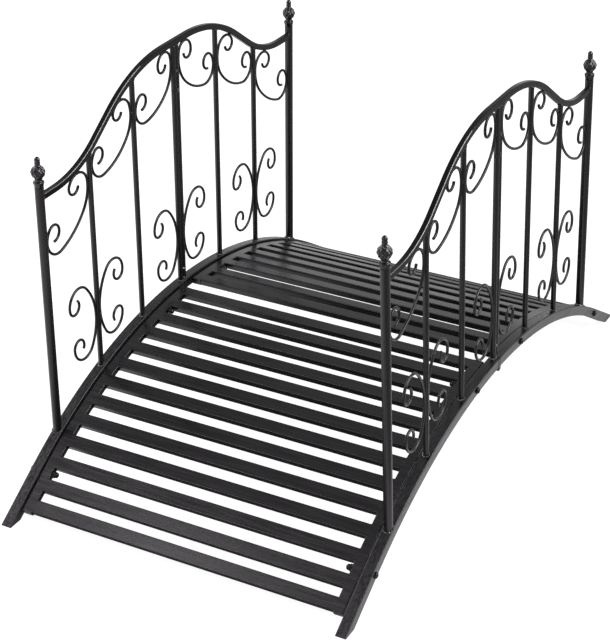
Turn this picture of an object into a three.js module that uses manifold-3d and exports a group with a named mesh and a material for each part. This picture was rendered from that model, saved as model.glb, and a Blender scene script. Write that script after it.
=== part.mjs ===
// Arched metal garden bridge, about four feet long, bolted together at the crown from two halves.
// Millimetres, +Z up. The bridge runs along Y, is symmetric about its middle, and stands on Z = 0.
import * as THREE from 'three';
import { mergeVertices } from 'three/addons/utils/BufferGeometryUtils.js';
import Module from 'manifold-3d';

const wasm = await Module();
wasm.setup();

// ---------------------------------------------------------------- driving dimensions

const FIT_GAP = 0.3; // air left between parts that touch

// Arched stringers, one flat-sided tube along each side of the deck
const HALF_LENGTH = 612; // middle of the bridge to the tip of a foot
const STRINGER_X = 338; // middle of the bridge to the centre of a stringer
const STRINGER_WIDTH = 20;
const STRINGER_DEPTH = 20;
const CROWN_Z = 214.5; // top of the stringers at the middle
const ARCH_RADIUS = 959.5; // top face of the stringers
const ARCH_HALF_SPAN = 512; // the arc ends here and runs on straight to the ground
const FLANGE_DROP = 12; // how far the bolting flange reaches below the stringer
const FLANGE_THICKNESS = 4;

// Deck panels: a frame of two side bars and a row of slats, laid along the arch
const DECK_DROP = 4; // deck surface below the top of the stringers
const DECK_HALF_WIDTH = 327.5;
const DECK_CROWN_GAP = 19.2; // middle of the bridge to the first slat
const DECK_END = 619.4; // middle of the bridge to the ends of the side bars, along the arch
const SLAT_COUNT = 13; // in each panel
const SLAT_PITCH = 48.1; // along the arch; the last slat is set a little closer, at the end
const END_SLAT_INSET = 2; // side bars run on past the last slat
const SLAT_WIDTH = 25.4;
const SLAT_DEPTH = 12;
const SIDE_BAR_WIDTH = 22;

// Railings
const RAILING_LEAN = THREE.MathUtils.degToRad(1.1); // towards the middle of the bridge
const LEAN_PIVOT_Z = 128;
const POST_Y = 438;
const POST_RADIUS = 8.2;
const POST_TOP_Z = 599.5;
const OUTER_BALUSTER_Y = 290;
const INNER_BALUSTER_Y = 145;
const CENTRE_BALUSTER_Y = 5.4; // one beside each face of the joint
const BALUSTER_RADIUS = 5.2;

// Handrail: a flat-sided tube with eased corners, standing on edge
const RAIL_WIDTH = 10.5;
const RAIL_HEIGHT = 12;
const RAIL_CORNER = 2;
const RAIL_END_Z = 579.2; // centre of the bar where it meets the end post
const RAIL_LEVEL_END = 398; // the level stretch beside the post ends here
const RAIL_PITCH = 35.4; // degrees
const RAIL_LOWER_RADIUS = 218;
const RAIL_STRAIGHT = 65.5;
const RAIL_UPPER_RADIUS = 306;

const SCROLL_ROD_RADIUS = 2.65;
const WELD_BITE = 1.1; // how far a welded rod sinks into the tube that carries it

// ---------------------------------------------------------------- bars bent to a curve

const arc = (radius, turn) => ({ length: radius * Math.abs(THREE.MathUtils.degToRad(turn)), turn });
const straight = (length) => ({ length, turn: 0 });

// The centre line of a bar bent in one plane: it starts at (x, y), heads at an angle in degrees
// and runs through arcs and straights. A positive turn bends to the left.
// Its parameter follows the facets, so tight curls get short steps and wide sweeps long ones.
class BentBar extends THREE.Curve {
  constructor(x, y, heading, stretches, sag = 0.5) {
    super();
    this.stretches = [];
    let angle = THREE.MathUtils.degToRad(heading);
    for (const { length, turn } of stretches) {
      const bend = THREE.MathUtils.degToRad(turn);
      const steps = Math.max(1, Math.round(Math.sqrt((Math.abs(bend) * length) / (8 * sag))));
      this.stretches.push({ x, y, angle, length, curvature: bend / length, steps });
      [x, y] = this.along(this.stretches.at(-1), length);
      angle += bend;
    }
    this.steps = this.stretches.reduce((sum, stretch) => sum + stretch.steps, 0);
  }

  along({ x, y, angle, curvature }, distance) {
    if (curvature === 0) {
      return [x + distance * Math.cos(angle), y + distance * Math.sin(angle)];
    }
    const end = angle + curvature * distance;
    return [
      x + (Math.sin(end) - Math.sin(angle)) / curvature,
      y - (Math.cos(end) - Math.cos(angle)) / curvature,
    ];
  }

  // The point a distance along the bar from its start, and the angle it heads at there.
  at(distance) {
    let rest = distance;
    let index = 0;
    while (index < this.stretches.length - 1 && rest > this.stretches[index].length) {
      rest -= this.stretches[index].length;
      index += 1;
    }
    const stretch = this.stretches[index];
    const [x, y] = this.along(stretch, rest);
    return { x, y, angle: stretch.angle + stretch.curvature * rest };
  }

  locate(t) {
    let step = t * this.steps;
    let index = 0;
    while (index < this.stretches.length - 1 && step > this.stretches[index].steps) {
      step -= this.stretches[index].steps;
      index += 1;
    }
    const stretch = this.stretches[index];
    return { stretch, distance: (step / stretch.steps) * stretch.length };
  }

  getPoint(t, target = new THREE.Vector3()) {
    const { stretch, distance } = this.locate(t);
    const [x, y] = this.along(stretch, distance);
    return target.set(x, y, 0);
  }

  getTangent(t, target = new THREE.Vector3()) {
    const { stretch, distance } = this.locate(t);
    const angle = stretch.angle + stretch.curvature * distance;
    return target.set(Math.cos(angle), Math.sin(angle), 0);
  }

  getUtoTmapping(u) {
    return u;
  }

  // The height above x of the curve that runs beside this one, offset to its left.
  heightAt(x, offset = 0) {
    let low = 0;
    let high = 1;
    const point = new THREE.Vector3();
    const tangent = new THREE.Vector3();
    for (let i = 0; i < 40; i += 1) {
      const middle = (low + high) / 2;
      this.getPoint(middle, point);
      this.getTangent(middle, tangent);
      if (point.x - offset * tangent.y < x) low = middle;
      else high = middle;
    }
    return point.y + offset * tangent.x;
  }
}

const sweep = (section, path) =>
  new THREE.ExtrudeGeometry(section, { steps: path.steps, extrudePath: path });

// ---------------------------------------------------------------- booleans

function toSolid(geometry) {
  const bare = geometry.clone();
  bare.deleteAttribute('normal');
  bare.deleteAttribute('uv');
  const merged = mergeVertices(bare, 1e-3);
  return new wasm.Manifold(
    new wasm.Mesh({
      numProp: 3,
      vertProperties: merged.attributes.position.array,
      triVerts: new Uint32Array(merged.index.array),
    }),
  );
}

function toGeometry(solid) {
  const mesh = solid.getMesh();
  const geometry = new THREE.BufferGeometry();
  geometry.setAttribute('position', new THREE.BufferAttribute(mesh.vertProperties, 3));
  geometry.setIndex(new THREE.BufferAttribute(mesh.triVerts, 1));
  const flat = geometry.toNonIndexed();
  flat.computeVertexNormals();
  return flat;
}

function fuse(geometries) {
  const [first, ...rest] = geometries.map(toSolid);
  return toGeometry(rest.reduce((sum, solid) => sum.add(solid), first));
}

// ---------------------------------------------------------------- the arch

const ARCH_CENTRE_Z = CROWN_Z - ARCH_RADIUS;
const FOOT_SLOPE = Math.asin(ARCH_HALF_SPAN / ARCH_RADIUS);

// Height of a line that runs parallel to the arch, a given depth below its top face.
function archHeight(along, depth = 0) {
  const radius = ARCH_RADIUS - depth;
  const y = Math.abs(along);
  const arcEnd = radius * Math.sin(FOOT_SLOPE);
  const onArc = ARCH_CENTRE_Z + Math.sqrt(radius ** 2 - Math.min(y, arcEnd) ** 2);
  return onArc - Math.max(0, y - arcEnd) * Math.tan(FOOT_SLOPE);
}

// Everything that follows is drawn in the plane of one side of the bridge:
// x runs along the bridge, y up and z across, and the near half lies at negative x.

function stringerGeometry() {
  const inner = ARCH_RADIUS - STRINGER_DEPTH;
  const up = Math.PI / 2;
  const end = -FIT_GAP / 2;
  const toTop = up + Math.asin(-end / ARCH_RADIUS);
  const flangeFace = end - FLANGE_THICKNESS;
  const toFlange = up + Math.asin(-flangeFace / inner);
  const outline = new THREE.Shape();
  outline.moveTo(-HALF_LENGTH, 0);
  const groundCut = inner * Math.sin(FOOT_SLOPE) +
    archHeight(inner * Math.sin(FOOT_SLOPE), STRINGER_DEPTH) / Math.tan(FOOT_SLOPE);
  outline.lineTo(-groundCut, 0);
  outline.absarc(0, ARCH_CENTRE_Z, inner, up + FOOT_SLOPE, toFlange, true);
  outline.lineTo(flangeFace, archHeight(0, STRINGER_DEPTH) - FLANGE_DROP);
  outline.lineTo(end, archHeight(0, STRINGER_DEPTH) - FLANGE_DROP);
  outline.absarc(0, ARCH_CENTRE_Z, ARCH_RADIUS, toTop, up + FOOT_SLOPE, false);
  outline.lineTo(-HALF_LENGTH, archHeight(HALF_LENGTH));
  return new THREE.ExtrudeGeometry(outline, {
    depth: STRINGER_WIDTH,
    bevelEnabled: false,
    curveSegments: 20,
  }).translate(0, 0, -STRINGER_WIDTH / 2);
}

// ---------------------------------------------------------------- deck panel

// The deck's top line in the near half: an arc from the crown that runs on straight to the foot.
const DECK_LINE = new BentBar(0, CROWN_Z - DECK_DROP, 180, [
  arc(ARCH_RADIUS - DECK_DROP, THREE.MathUtils.radToDeg(FOOT_SLOPE)),
  straight(100),
]);

function slatGeometry(distance) {
  const { x, y, angle } = DECK_LINE.at(distance);
  return new THREE.BoxGeometry(SLAT_WIDTH, SLAT_DEPTH, 2 * DECK_HALF_WIDTH - SIDE_BAR_WIDTH)
    .translate(0, -SLAT_DEPTH / 2, 0)
    .rotateZ(angle - Math.PI)
    .translate(x, y, 0);
}

function sideBarGeometry(start, end, middle) {
  const facets = 26;
  const above = [];
  const below = [];
  for (let i = 0; i <= facets; i += 1) {
    const { x, y, angle } = DECK_LINE.at(start + ((end - start) * i) / facets);
    above.push(new THREE.Vector2(x, y));
    below.unshift(new THREE.Vector2(x - SLAT_DEPTH * Math.sin(angle), y + SLAT_DEPTH * Math.cos(angle)));
  }
  return new THREE.ExtrudeGeometry(new THREE.Shape([...above, ...below]), {
    depth: SIDE_BAR_WIDTH,
    bevelEnabled: false,
  }).translate(0, 0, middle - SIDE_BAR_WIDTH / 2);
}

function deckGeometry() {
  const barMiddle = DECK_HALF_WIDTH - SIDE_BAR_WIDTH / 2;
  const pieces = [-barMiddle, barMiddle].map((middle) => sideBarGeometry(DECK_CROWN_GAP, DECK_END, middle));
  for (let i = 0; i < SLAT_COUNT - 1; i += 1) {
    pieces.push(slatGeometry(DECK_CROWN_GAP + SLAT_WIDTH / 2 + i * SLAT_PITCH));
  }
  pieces.push(slatGeometry(DECK_END - END_SLAT_INSET - SLAT_WIDTH / 2));
  return fuse(pieces);
}

// ---------------------------------------------------------------- railing

const RAIL_SAG = 0.15; // how far the facets of the handrail cut inside its curve

// The near half of the handrail's centre line, from the end post up to the joint at the crown.
function railPath() {
  const start = -(POST_Y - POST_RADIUS - FIT_GAP);
  const wave = [
    straight(-RAIL_LEVEL_END - start),
    arc(RAIL_LOWER_RADIUS, RAIL_PITCH),
    straight(RAIL_STRAIGHT),
    arc(RAIL_UPPER_RADIUS, -RAIL_PITCH),
  ];
  const crestStart = new BentBar(start, RAIL_END_Z, 0, wave).getPoint(1).x;
  const crest = straight(-FIT_GAP / 2 - crestStart);
  return new BentBar(start, RAIL_END_Z, 0, [...wave, crest], RAIL_SAG);
}

const RAIL_LINE = railPath();

function railGeometry() {
  const [half, flat] = [RAIL_WIDTH / 2, RAIL_WIDTH / 2 - RAIL_CORNER];
  const [top, shoulder] = [RAIL_HEIGHT / 2, RAIL_HEIGHT / 2 - RAIL_CORNER];
  const section = new THREE.Shape([
    new THREE.Vector2(flat, -top),
    new THREE.Vector2(half, -shoulder),
    new THREE.Vector2(half, shoulder),
    new THREE.Vector2(flat, top),
    new THREE.Vector2(-flat, top),
    new THREE.Vector2(-half, shoulder),
    new THREE.Vector2(-half, -shoulder),
    new THREE.Vector2(-flat, -top),
  ]);
  return sweep(section, RAIL_LINE);
}

const UPRIGHT_GAP = 0.4; // air at the ends of an upright, where it meets faceted curves

// An upright tube whose ends are cut to fit what it stands on and what it meets above.
function uprightGeometry(along, radius, sides, ceiling) {
  const tube = new THREE.CylinderGeometry(radius, radius, 2, sides).translate(along, 0, 0);
  const position = tube.attributes.position;
  for (let i = 0; i < position.count; i += 1) {
    const x = position.getX(i);
    const y = position.getY(i) > 0 ? ceiling(x) : archHeight(x) + UPRIGHT_GAP;
    position.setY(i, y);
  }
  return tube;
}

const underRail = (x) => RAIL_LINE.heightAt(x, -RAIL_HEIGHT / 2) - UPRIGHT_GAP;

const postGeometry = () => uprightGeometry(-POST_Y, POST_RADIUS, 14, () => POST_TOP_Z);
const balusterGeometry = (along) => uprightGeometry(-along, BALUSTER_RADIUS, 10, underRail);

// Cast finial: a flared and scalloped cup, a ball with rows of overlapping scales, and a waisted knob.
const FINIAL_PROFILE = [
  [0, 0], [8.2, 0], [8.9, 4.5], [10, 8.5], [10, 10.5], [6.5, 11.8], [6.5, 14.5],
  [9.8, 17.5], [12.2, 21.5], [13, 26], [12.6, 30.5], [10.6, 35], [7.4, 38.6], [4.6, 41],
  [5.3, 44.3], [4.5, 47.3], [5.1, 50], [3.6, 54.3], [0, 56.5],
];
const SCALES_ROUND = 10;
const SCALE_DEPTH = 0.09; // share of the radius
const SCALLOP_DEPTH = 0.05;
const CUP_ROWS = [2, 4]; // first and last point of the profile in the cup's flare
const SCALE_ROWS = [7, 12]; // and in the ball

function finialGeometry() {
  const points = FINIAL_PROFILE.map(([radius, height]) => new THREE.Vector2(radius, height));
  const geometry = new THREE.LatheGeometry(points, SCALES_ROUND * 2);
  const position = geometry.attributes.position;
  for (let i = 0; i < position.count; i += 1) {
    const row = i % points.length;
    const onCup = row >= CUP_ROWS[0] && row <= CUP_ROWS[1];
    const onBall = row >= SCALE_ROWS[0] && row <= SCALE_ROWS[1];
    if (!onCup && !onBall) continue;
    const [x, z] = [position.getX(i), position.getZ(i)];
    const stagger = onBall ? row * Math.PI : 0; // the scales of each row sit between those of the row below
    const groove = 0.5 - 0.5 * Math.cos(SCALES_ROUND * Math.atan2(x, z) + stagger);
    const share = 1 - (onBall ? SCALE_DEPTH : SCALLOP_DEPTH) * groove;
    position.setX(i, x * share);
    position.setZ(i, z * share);
  }
  return geometry.translate(-POST_Y, POST_TOP_Z + FIT_GAP, 0);
}

// ---------------------------------------------------------------- scrollwork

const SCROLL_SAG = 0.8; // how far the facets of a scroll cut inside its curve

function scrollGeometry(path) {
  const corners = [];
  for (let angle = 30; angle < 360; angle += 60) {
    const radians = THREE.MathUtils.degToRad(angle);
    corners.push(new THREE.Vector2(Math.cos(radians), Math.sin(radians)).multiplyScalar(SCROLL_ROD_RADIUS));
  }
  return sweep(new THREE.Shape(corners), path);
}

function boundsOf(path) {
  return new THREE.Box3().setFromPoints(path.getPoints(path.steps * 6));
}

// U-shaped scroll that hangs under the handrail in each bay, curled in at both ends. It starts at
// the end of its higher curl, next to the taller baluster, and turns the same way throughout.
const UPPER_SCROLLS = [
  {
    name: 'outer',
    bay: [-POST_Y + POST_RADIUS, -OUTER_BALUSTER_Y - BALUSTER_RADIUS],
    heading: -100.5,
    bends: [[13.5, 200.5], [27.9, 144.4], [66.5, 44.8], [146.6, 32.8], [30, 155.5], [15.1, 224.1]],
  },
  {
    name: 'middle',
    bay: [-OUTER_BALUSTER_Y + BALUSTER_RADIUS, -INNER_BALUSTER_Y - BALUSTER_RADIUS],
    heading: -100.1,
    bends: [[13.2, 202], [28, 130.2], [58.7, 58.9], [130, 39.5], [31, 145.5], [15, 225.9]],
  },
  {
    name: 'inner',
    bay: [-INNER_BALUSTER_Y + BALUSTER_RADIUS, -CENTRE_BALUSTER_Y - BALUSTER_RADIUS],
    heading: -91.2,
    bends: [[12.6, 159.2], [21.8, 187.3], [69.6, 59.2], [120.4, 36.2], [31.7, 146.8], [15.2, 221]],
  },
];

// Bent so that it just fits between the two uprights of its bay and hangs under the handrail.
function upperScrollGeometry({ bay: [left, right], heading, bends }) {
  const reach = SCROLL_ROD_RADIUS + FIT_GAP;
  const bent = (scale) => bends.map(([radius, turn]) => arc(radius * scale, -turn));
  const drawn = boundsOf(new BentBar(0, 0, heading, bent(1)));
  const scale = (right - left - 2 * reach) / (drawn.max.x - drawn.min.x);
  const placed = new BentBar(0, 0, heading, bent(scale));
  const x = left + reach - boundsOf(placed).min.x;
  const slopingReach = reach / Math.cos(THREE.MathUtils.degToRad(RAIL_PITCH));
  const room = placed.getPoints(placed.steps * 6)
    .map((point) => RAIL_LINE.heightAt(x + point.x, -RAIL_HEIGHT / 2) - slopingReach - point.y);
  return scrollGeometry(new BentBar(x, Math.min(...room), heading, bent(scale), SCROLL_SAG));
}

// C-shaped scroll whose back is welded to a baluster, with its larger curl at the top.
const LOWER_SCROLL_HEADING = -44.4;
const LOWER_SCROLL_BENDS = [[14.4, 214], [30, 150], [105, 73.5], [30.4, 149], [14.9, 214]];
const OUTER_SCROLL_Z = 282.7; // middle height of the scrolls on the outer baluster
const INNER_SCROLL_Z = 292;
const CENTRE_SCROLL_Z = 313.8;

// Opens towards negative x when side is -1, towards positive x when side is 1.
function lowerScrollGeometry(along, middle, side) {
  const heading = side < 0 ? LOWER_SCROLL_HEADING : 180 - LOWER_SCROLL_HEADING;
  const bends = LOWER_SCROLL_BENDS.map(([radius, turn]) => arc(radius, side * turn));
  const drawn = boundsOf(new BentBar(0, 0, heading, bends));
  const back = side < 0 ? drawn.max.x : drawn.min.x;
  const reach = BALUSTER_RADIUS + SCROLL_ROD_RADIUS - WELD_BITE;
  const x = along + side * reach - back;
  const y = middle - (drawn.min.y + drawn.max.y) / 2;
  return scrollGeometry(new BentBar(x, y, heading, bends, SCROLL_SAG));
}

const outerBalusterGeometry = () => fuse([
  balusterGeometry(OUTER_BALUSTER_Y),
  lowerScrollGeometry(-OUTER_BALUSTER_Y, OUTER_SCROLL_Z, -1),
  lowerScrollGeometry(-OUTER_BALUSTER_Y, INNER_SCROLL_Z, 1),
]);

const centreBalusterGeometry = () => fuse([
  balusterGeometry(CENTRE_BALUSTER_Y),
  lowerScrollGeometry(-CENTRE_BALUSTER_Y, CENTRE_SCROLL_Z, -1),
]);

// ---------------------------------------------------------------- assembly

const blackPowderCoat = (roughness) =>
  new THREE.MeshStandardMaterial({ color: 0x1b1b1d, roughness, metalness: 0.35 });

function piece(name, geometry, roughness = 0.5) {
  const mesh = new THREE.Mesh(geometry, blackPowderCoat(roughness));
  mesh.name = name;
  return mesh;
}

const shapes = {
  stringer: stringerGeometry(),
  deck: deckGeometry(),
  post: postGeometry(),
  finial: finialGeometry(),
  handrail: railGeometry(),
  outerBaluster: outerBalusterGeometry(),
  innerBaluster: balusterGeometry(INNER_BALUSTER_Y),
  centreBaluster: centreBalusterGeometry(),
  upperScrolls: UPPER_SCROLLS.map(upperScrollGeometry),
};

// Turns the drawing plane (x along, y up, z across) into the bridge's own axes.
function drawingPlane() {
  const group = new THREE.Group();
  group.rotation.set(Math.PI / 2, 0, Math.PI / 2, 'ZXY');
  return group;
}

// One half of a railing, drawn near half first and turned about the middle for the far half.
function railingHalf(label, far) {
  const half = new THREE.Group();
  half.rotation.y = far ? Math.PI : 0;
  half.add(
    piece(`${label}_end_post`, shapes.post),
    piece(`${label}_post_finial`, shapes.finial, 0.45),
    piece(`${label}_handrail`, shapes.handrail, 0.45),
    piece(`${label}_outer_baluster_with_scrolls`, shapes.outerBaluster),
    piece(`${label}_inner_baluster`, shapes.innerBaluster),
    piece(`${label}_centre_baluster_with_scroll`, shapes.centreBaluster),
  );
  UPPER_SCROLLS.forEach(({ name }, i) => {
    half.add(piece(`${label}_${name}_upper_scroll`, shapes.upperScrolls[i]));
  });
  return half;
}

const bridge = new THREE.Group();

for (const [label, side] of [['left', -1], ['right', 1]]) {
  const plane = drawingPlane();
  plane.position.x = side * STRINGER_X;
  const railing = new THREE.Group();
  railing.position.y = LEAN_PIVOT_Z;
  railing.rotation.x = -side * RAILING_LEAN;
  const upright = new THREE.Group();
  upright.position.y = -LEAN_PIVOT_Z;
  for (const [end, far] of [['near', false], ['far', true]]) {
    const stringer = piece(`${label}_${end}_stringer`, shapes.stringer);
    stringer.rotation.y = far ? Math.PI : 0;
    plane.add(stringer);
    upright.add(railingHalf(`${label}_${end}`, far));
  }
  railing.add(upright);
  plane.add(railing);
  bridge.add(plane);
}

for (const [end, far] of [['near', false], ['far', true]]) {
  const plane = drawingPlane();
  const deck = piece(`${end}_deck_panel`, shapes.deck, 0.55);
  deck.rotation.y = far ? Math.PI : 0;
  plane.add(deck);
  bridge.add(plane);
}

export default bridge;
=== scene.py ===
"""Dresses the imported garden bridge: fine tubes, scrolls, welds, bolts, finishes, light and camera."""

import math

import bmesh
import bpy
import numpy as np
from mathutils import Matrix, Vector


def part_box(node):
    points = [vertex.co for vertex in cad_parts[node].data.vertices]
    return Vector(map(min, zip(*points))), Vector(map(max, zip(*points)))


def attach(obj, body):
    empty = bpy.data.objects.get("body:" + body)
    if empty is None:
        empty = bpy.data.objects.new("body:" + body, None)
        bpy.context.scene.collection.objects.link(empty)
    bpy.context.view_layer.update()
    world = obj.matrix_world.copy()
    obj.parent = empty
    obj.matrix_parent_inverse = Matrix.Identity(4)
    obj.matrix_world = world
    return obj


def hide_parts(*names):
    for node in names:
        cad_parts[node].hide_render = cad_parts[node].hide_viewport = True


MM = 0.001

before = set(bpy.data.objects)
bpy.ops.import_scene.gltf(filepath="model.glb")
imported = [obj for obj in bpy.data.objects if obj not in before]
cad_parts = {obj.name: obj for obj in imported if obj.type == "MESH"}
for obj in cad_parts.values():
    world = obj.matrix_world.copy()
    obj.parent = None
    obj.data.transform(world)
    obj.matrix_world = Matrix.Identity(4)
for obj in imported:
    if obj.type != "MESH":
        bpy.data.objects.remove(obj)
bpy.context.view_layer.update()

# ---------------------------------------------------------------- places read from the frame

stringer_low, stringer_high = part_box("right_near_stringer")
_, deck_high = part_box("near_deck_panel")
inner_low, inner_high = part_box("right_near_inner_baluster")
post_low, post_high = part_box("right_near_end_post")

STRINGER_X = (stringer_low.x + stringer_high.x) / 2
STRINGER_WIDTH = stringer_high.x - stringer_low.x
HALF_LENGTH = -stringer_low.y
CROWN_Z = stringer_high.z
DECK_HALF_WIDTH = deck_high.x
DECK_TRIM = 0.4 * MM  # the drawn panel starts this far inside the solid's edge at the crown
DECK_CROWN_GAP = -deck_high.y + DECK_TRIM
POST_Y = -(post_low.y + post_high.y) / 2
INNER_BALUSTER_Y = -(inner_low.y + inner_high.y) / 2

# ---------------------------------------------------------------- design sizes, metres

FIT_GAP = 0.3 * MM  # left between pieces that meet
SAG = 0.02 * MM  # how far a chord may stray from a bend
FINE_SAG = 0.01 * MM
DECK_SAG = 0.002 * MM
LONGEST_STEP = 20 * MM  # along a bar
CUT_TOLERANCE = 1e-7
CORNER_FACETS = 5
FLAT_MARGIN = 0.25 * MM  # a flat face shades flat up to this distance from its rounded corners
SMOOTH_ANGLE = 32  # degrees

STRINGER_DEPTH = 20 * MM
ARCH_RADIUS = 959.5 * MM
ARCH_HALF_SPAN = 512 * MM
TUBE_CORNER = 1.8 * MM
FOOT_RUN = 150 * MM  # straight stretch of the stringer, cut off again at the ground
FLANGE_TOP = CROWN_Z - 1 * MM
FLANGE_DROP = 6 * MM
FLANGE_THICKNESS = 4 * MM
FLANGE_LIP = 0.6 * MM
FLANGE_CORNER = 1.2 * MM
# depth into the plate, and size as a share of its outline
FLANGE_RINGS = ((0, 0.985), (0.3 * MM, 1), (FLANGE_THICKNESS - 0.4 * MM, 1), (FLANGE_THICKNESS, 0.97))

DECK_DROP = 4 * MM
DECK_FOOT_RUN = 100 * MM
DECK_END = 619.4 * MM  # along the deck, from the middle of the bridge
SLAT_COUNT = 13
SLAT_PITCH = 48.1 * MM
SLAT_WIDTH = 25.4 * MM
SLAT_DEPTH = 12 * MM
SLAT_CORNER = 1.6 * MM
SLAT_TUCK = 2 * MM  # each end reaches this far into its side bar
SLAT_RINGS = 9
END_SLAT_INSET = 2 * MM
FAR_SLAT_SHIFT = 3.2 * MM  # the far panel's second slat sits this much nearer the crown
SIDE_BAR_WIDTH = 22 * MM
SIDE_BAR_RINGS = 60
SIDE_GAP = 3 * MM  # shadow gap between the stringer and the side bar
SLAT_WELD_SIZE = 0.75 * MM
SLAT_WELD_DROP = 0.6 * MM  # kept below the slat's top face
SLAT_WELD_POINTS = 60

RAILING_LEAN = math.radians(1.1)
LEAN_PIVOT_Z = 128 * MM
POST_RADIUS = 8.2 * MM
POST_TOP_Z = 599.5 * MM
POST_SIDES = 40
OUTER_BALUSTER_Y = 290 * MM
CENTRE_BALUSTER_Y = 5.4 * MM
BALUSTER_RADIUS = 5.2 * MM
BALUSTER_SIDES = 32
UPRIGHT_RINGS = 12

RAIL_WIDTH = 10.5 * MM
RAIL_HEIGHT = 12 * MM
RAIL_CORNER = 2 * MM
RAIL_END_Z = 579.2 * MM
RAIL_LEVEL_END = 398 * MM
RAIL_PITCH = 35.4  # degrees
RAIL_LOWER_RADIUS = 218 * MM
RAIL_STRAIGHT = 65.5 * MM
RAIL_UPPER_RADIUS = 306 * MM
HIGHLIGHT_RAIL_FACES = (2, 3, 4)  # faces of the rail's upper +x corner, which carry a painted highlight
HIGHLIGHT_RAIL_END = 120 * MM  # the painted highlight along that corner ends this far before the middle of the bridge

# welds around uprights: distance out from the tube, size of the bead, points around
POST_FOOT_WELD = (0.5 * MM, 1.9 * MM, 56)
BALUSTER_FOOT_WELD = (0.4 * MM, 1.5 * MM, 40)
BALUSTER_TOP_WELD = (0, 1 * MM, 32)
FOOT_WELD_RISE = 0.3 * MM
TOP_WELD_DROP = 0.1 * MM
RAIL_WELD_SIZE = 1.1 * MM
RAIL_WELD_SHARE = 0.96  # of the rail's section
RIPPLE = 0.12  # how much a bead swells and narrows, as a share of its size
FOOT_RIPPLE = 0.3
BEAD_SIDES = 8
SLAT_BEAD_SIDES = 6
BLOB_ROWS = 7
BLOB_LUMP = 0.09

FINIAL_BASE_Z = POST_TOP_Z + FIT_GAP
FINIAL_PROFILE = [  # radius and height, mm
    (7.7, 0), (8.0, 0.4), (8.35, 2.0), (8.9, 4.5), (9.7, 7.2), (10.0, 8.6), (10.05, 10.0), (9.6, 10.8),
    (8.4, 11.2), (7.0, 11.6), (6.5, 12.6), (6.5, 14.4), (7.0, 15.8), (8.2, 17.4), (9.6, 19.2),
    (10.9, 21.2), (12.0, 23.4), (12.75, 25.8), (13.0, 28.0), (12.8, 30.2), (12.1, 32.4), (10.9, 34.6),
    (9.2, 36.7), (7.2, 38.5), (5.5, 39.9), (4.7, 41.0), (4.6, 41.8), (5.0, 42.8), (5.3, 44.2), (5.2, 45.6),
    (4.7, 46.6), (4.5, 47.4), (4.8, 48.2), (5.15, 49.4), (5.1, 51.0), (4.6, 52.8), (3.7, 54.4), (2.4, 55.7),
    (1.0, 56.4), (0.3, 56.5),
]
FINIAL_SMOOTHINGS = 3
FINIAL_RINGS = 150
FINIAL_SIDES = 108
BALL_LOW, BALL_HIGH, BALL_FADE = 14.5, 40.5, 3  # where the scales lie and fade out, mm
SCALES_ROUND = 9
SCALE_ROW = 6.4  # mm
SCALE_LIFT = 0.02  # share of the radius, as the next two
SCALE_DEPTH = 0.13
CUP_DEPTH = 0.08
SCALE_SHARPNESS = 0.7
CUP_HIGH, CUP_START, CUP_FADE = 11, 1.5, 5  # where the cup's scallops lie and grow, mm
CUP_SCALLOPS = 8

ROD_RADIUS = 2.65 * MM
ROD_SIDES = 16
ROD_END_STEP = 0.12  # share of the radius over which a cut end rounds over
ROD_END_SIZE = 0.8
WELD_BITE = 1.1 * MM
# heading in degrees, then bends as (radius in mm, turn in degrees)
UPPER_SCROLLS = {
    "outer": (-100.5, [
        (13.5, 200.5), (27.9, 144.4), (66.5, 44.8), (146.6, 32.8), (30, 155.5), (15.1, 224.1),
    ]),
    "middle": (-100.1, [
        (13.2, 202), (28, 130.2), (58.7, 58.9), (130, 39.5), (31, 145.5), (15, 225.9),
    ]),
    "inner": (-91.2, [
        (12.6, 159.2), (21.8, 187.3), (69.6, 59.2), (120.4, 36.2), (31.7, 146.8), (15.2, 221),
    ]),
}
UPPER_SPOT = (1.2 * MM, 4.2 * MM, 2.2 * MM)  # half sizes of a weld spot: out, along, across
LOWER_SCROLL = (-44.4, [(14.4, 214), (30, 150), (105, 73.5), (30.4, 149), (14.9, 214)])
LOWER_SPOT = (1.5 * MM, 4.5 * MM, 2.6 * MM)
LOWER_SPOT_OUT = 0.6 * MM
LOWER_SPOT_SPREAD = 9 * MM  # above and below the touching point
OUTER_SCROLL_Z = 282.7 * MM
INNER_SCROLL_Z = 292 * MM
CENTRE_SCROLL_Z = 313.8 * MM

# profiles of the fasteners: radius and distance from the face, mm
BOLT_WASHER = [(5.5, 0), (5.6, 0.15), (5.6, 0.8), (5.4, 0.9)]
BOLT_DOME = [(4.8, 0.7), (5, 1), (4.95, 1.9), (4.6, 2.7), (3.9, 3.4), (2.9, 3.9), (1.6, 4.2), (0.4, 4.3)]
NUT_WASHER = [(5.7, 0), (5.8, 0.15), (5.8, 0.9), (5.6, 1)]
NUT_BODY = [(5, 0.8), (5.5, 1.2), (5.5, 4.7), (5, 5.2)]
NUT_CAP = [(4.5, 4.8), (4.5, 7.4), (4.2, 8.9), (3.5, 10.1), (2.4, 11), (1.2, 11.4), (0.3, 11.5)]
ROUND_SIDES = 28
DOME_SIDES = 32
HEXAGON_SIDES = 48
STRINGER_BOLT_SIZE = 1.16  # share of the profiles' size
PAIR_BOLT_SIZE = 0.45
NUT_WIDTH = 1.22
STRINGER_BOLTS = (100 * MM, 505 * MM)  # distance from the crown
PAIR_BOLTS = (618 * MM, 657 * MM)  # height
PAIR_BOLT_SINK = 0.5 * MM
# height and half size of each tack
PAIR_TACKS = ((656 * MM, 3.2 * MM), (618 * MM, 5 * MM), (239 * MM, 3 * MM), (218 * MM, 3 * MM))
PAIR_TACK_OUT = 4.4 * MM
PAIR_TACK_SHAPE = (0.75, 1, 0.6)

rng = np.random.default_rng(7)

# ---------------------------------------------------------------- bars bent to a curve


def arc(radius, turn):
    return radius * abs(math.radians(turn)), turn


def straight(length):
    return length, 0.0


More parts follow.
